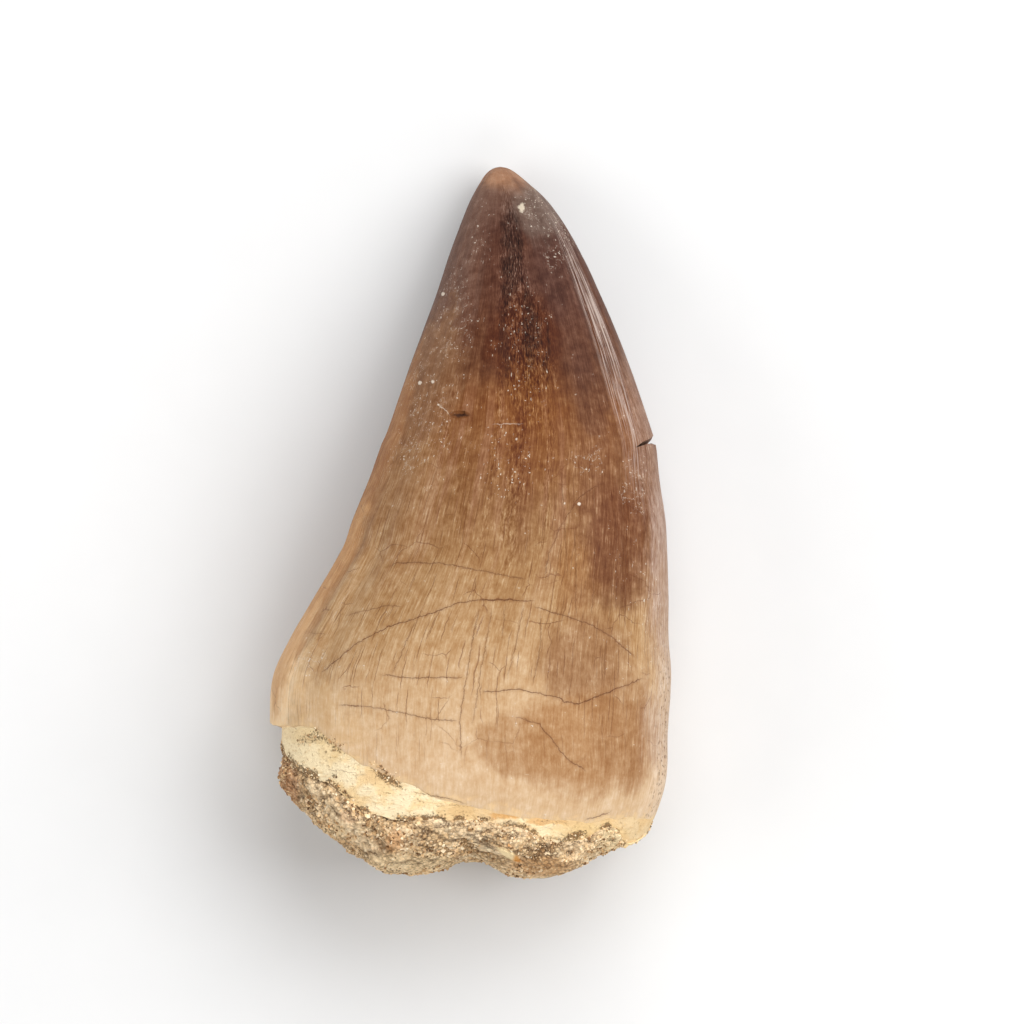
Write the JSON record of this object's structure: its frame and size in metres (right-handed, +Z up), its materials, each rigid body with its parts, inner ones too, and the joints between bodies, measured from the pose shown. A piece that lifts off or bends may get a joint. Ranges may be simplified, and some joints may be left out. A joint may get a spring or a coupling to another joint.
{
  "type": "fossil mosasaur tooth",
  "caption": "Broad, slightly curved fossil reptile tooth crown with cracked brown enamel and sandy rock on its broken base, lying on its flatter side.",
  "frame": {"origin": "on the surface that the tooth rests on, under the middle of its overall box", "axes": "+Y from the rock at the base towards the tip, +Z up out of the convex outer face, +X towards the less flared edge, the right one with the tip pointing away"},
  "size_m": [0.0308, 0.055, 0.0208],
  "materials": {
    "enamel": null,
    "sandy_rock": null
  },
  "bodies": {
    "root": {"tooth": "enamel", "matrix": "sandy_rock"}
  },
  "joints": []
}
